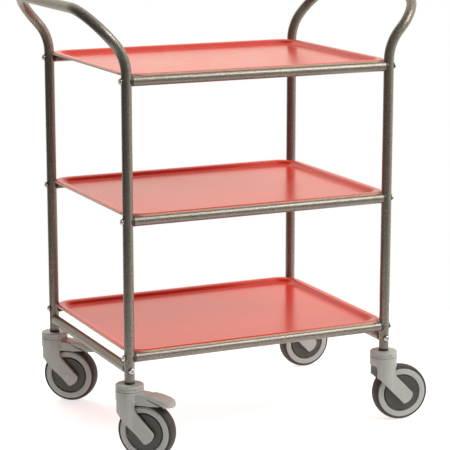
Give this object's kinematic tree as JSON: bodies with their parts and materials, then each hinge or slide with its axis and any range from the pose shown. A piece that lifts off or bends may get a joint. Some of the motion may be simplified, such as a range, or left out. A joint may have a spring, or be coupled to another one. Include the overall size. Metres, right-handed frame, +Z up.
{
  "type": "three-tier tray trolley",
  "caption": "Service trolley: bent-tube end frames with a hand bar at each end, loose raised-rim trays on tube rails, swivelling castors and foot brakes at one end.",
  "frame": {"origin": "on the floor, at the middle of the bounding box seen from above", "axes": "+X from the left end frame to the right one, +Y from front to rear, +Z up"},
  "size_m": [0.8054, 0.5704, 0.9488],
  "materials": {
    "hammered_powder_coat": "hammered metallic",
    "red_laminate": "semi-gloss laminate with a pale cut edge",
    "zinc_steel": "bright zinc",
    "black_nylon": "satin",
    "pale_grey_plastic": "fine moulded texture",
    "dark_grey_plastic": "satin",
    "grey_tread": "matt"
  },
  "bodies": {
    "frame": {"bottom_front_rail": "hammered_powder_coat", "bottom_rear_rail": "hammered_powder_coat", "castor_caps": "pale_grey_plastic", "castor_leg_plugs": "black_nylon", "castor_stems": "zinc_steel", "left_cross_rail": "hammered_powder_coat", "left_end_frame": "hammered_powder_coat", "middle_front_rail": "hammered_powder_coat", "middle_rear_rail": "hammered_powder_coat", "rail_end_plugs": "black_nylon", "rail_nuts": "zinc_steel", "rail_screws": "zinc_steel", "right_cross_rail": "hammered_powder_coat", "right_end_frame": "hammered_powder_coat", "saddle_washers": "black_nylon", "top_front_rail": "hammered_powder_coat", "top_rear_rail": "hammered_powder_coat"},
    "bottom_tray": {"bottom_tray": "red_laminate"},
    "middle_tray": {"middle_tray": "red_laminate"},
    "top_tray": {"top_tray": "red_laminate"},
    "front_left_swivel": {"front_left_fork": "pale_grey_plastic", "front_left_swivel_bearing": "zinc_steel", "front_left_axle": "zinc_steel", "front_left_axle_caps": "pale_grey_plastic", "front_left_brake_pin": "zinc_steel"},
    "front_left_wheel": {"front_left_tyre": "grey_tread", "front_left_wheel_rim": "pale_grey_plastic", "front_left_wheel_covers": "dark_grey_plastic", "front_left_wheel_bearings": "zinc_steel"},
    "front_left_brake": {"front_left_brake_pedal": "pale_grey_plastic", "front_left_brake_shoe": "pale_grey_plastic"},
    "rear_left_swivel": {"rear_left_fork": "pale_grey_plastic", "rear_left_swivel_bearing": "zinc_steel", "rear_left_axle": "zinc_steel", "rear_left_axle_caps": "pale_grey_plastic", "rear_left_brake_pin": "zinc_steel"},
    "rear_left_wheel": {"rear_left_tyre": "grey_tread", "rear_left_wheel_rim": "pale_grey_plastic", "rear_left_wheel_covers": "dark_grey_plastic", "rear_left_wheel_bearings": "zinc_steel"},
    "rear_left_brake": {"rear_left_brake_pedal": "pale_grey_plastic", "rear_left_brake_shoe": "pale_grey_plastic"},
    "front_right_swivel": {"front_right_fork": "pale_grey_plastic", "front_right_swivel_bearing": "zinc_steel", "front_right_axle": "zinc_steel", "front_right_axle_caps": "pale_grey_plastic"},
    "front_right_wheel": {"front_right_tyre": "grey_tread", "front_right_wheel_rim": "pale_grey_plastic", "front_right_wheel_covers": "dark_grey_plastic", "front_right_wheel_bearings": "zinc_steel"},
    "rear_right_swivel": {"rear_right_fork": "pale_grey_plastic", "rear_right_swivel_bearing": "zinc_steel", "rear_right_axle": "zinc_steel", "rear_right_axle_caps": "pale_grey_plastic"},
    "rear_right_wheel": {"rear_right_tyre": "grey_tread", "rear_right_wheel_rim": "pale_grey_plastic", "rear_right_wheel_covers": "dark_grey_plastic", "rear_right_wheel_bearings": "zinc_steel"}
  },
  "joints": [
    {"name": "bottom_tray_lift", "type": "slide", "parent": "frame", "child": "bottom_tray", "axis": [0, 0, 1], "range_m": [0, 0.05]},
    {"name": "middle_tray_lift", "type": "slide", "parent": "frame", "child": "middle_tray", "axis": [0, 0, 1], "range_m": [0, 0.05]},
    {"name": "top_tray_lift", "type": "slide", "parent": "frame", "child": "top_tray", "axis": [0, 0, 1], "range_m": [0, 0.05]},
    {"name": "front_left_swivel_turn", "type": "hinge", "parent": "frame", "child": "front_left_swivel", "pos_m": [-0.304, -0.2035, 0.15], "axis": [0, 0, 1], "continuous": true},
    {"name": "front_left_wheel_spin", "type": "hinge", "parent": "front_left_swivel", "child": "front_left_wheel", "pos_m": [-0.27691, -0.23155, 0.0625], "axis": [0.7193, 0.6947, 0], "continuous": true},
    {"name": "front_left_brake_press", "type": "hinge", "parent": "front_left_swivel", "child": "front_left_brake", "pos_m": [-0.27621, -0.23227, 0.1346], "axis": [0.7193, 0.6947, 0], "range_deg": [0, 5], "stiffness_Nm_per_rad": 8, "springref_deg": -2.86},
    {"name": "rear_left_swivel_turn", "type": "hinge", "parent": "frame", "child": "rear_left_swivel", "pos_m": [-0.304, 0.2565, 0.15], "axis": [0, 0, 1], "continuous": true},
    {"name": "rear_left_wheel_spin", "type": "hinge", "parent": "rear_left_swivel", "child": "rear_left_wheel", "pos_m": [-0.27457, 0.23091, 0.0625], "axis": [0.6561, 0.7547, 0], "continuous": true},
    {"name": "rear_left_brake_press", "type": "hinge", "parent": "rear_left_swivel", "child": "rear_left_brake", "pos_m": [-0.27381, 0.23026, 0.1346], "axis": [0.6561, 0.7547, 0], "range_deg": [0, 5], "stiffness_Nm_per_rad": 8, "springref_deg": -2.86},
    {"name": "front_right_swivel_turn", "type": "hinge", "parent": "frame", "child": "front_right_swivel", "pos_m": [0.304, -0.2035, 0.15], "axis": [0, 0, 1], "continuous": true},
    {"name": "front_right_wheel_spin", "type": "hinge", "parent": "front_right_swivel", "child": "front_right_wheel", "pos_m": [0.34262, -0.20893, 0.0625], "axis": [0.1392, 0.9903, 0], "continuous": true},
    {"name": "rear_right_swivel_turn", "type": "hinge", "parent": "frame", "child": "rear_right_swivel", "pos_m": [0.304, 0.2565, 0.15], "axis": [0, 0, 1], "continuous": true},
    {"name": "rear_right_wheel_spin", "type": "hinge", "parent": "rear_right_swivel", "child": "rear_right_wheel", "pos_m": [0.343, 0.2565, 0.0625], "axis": [0, 1, 0], "continuous": true}
  ]
}
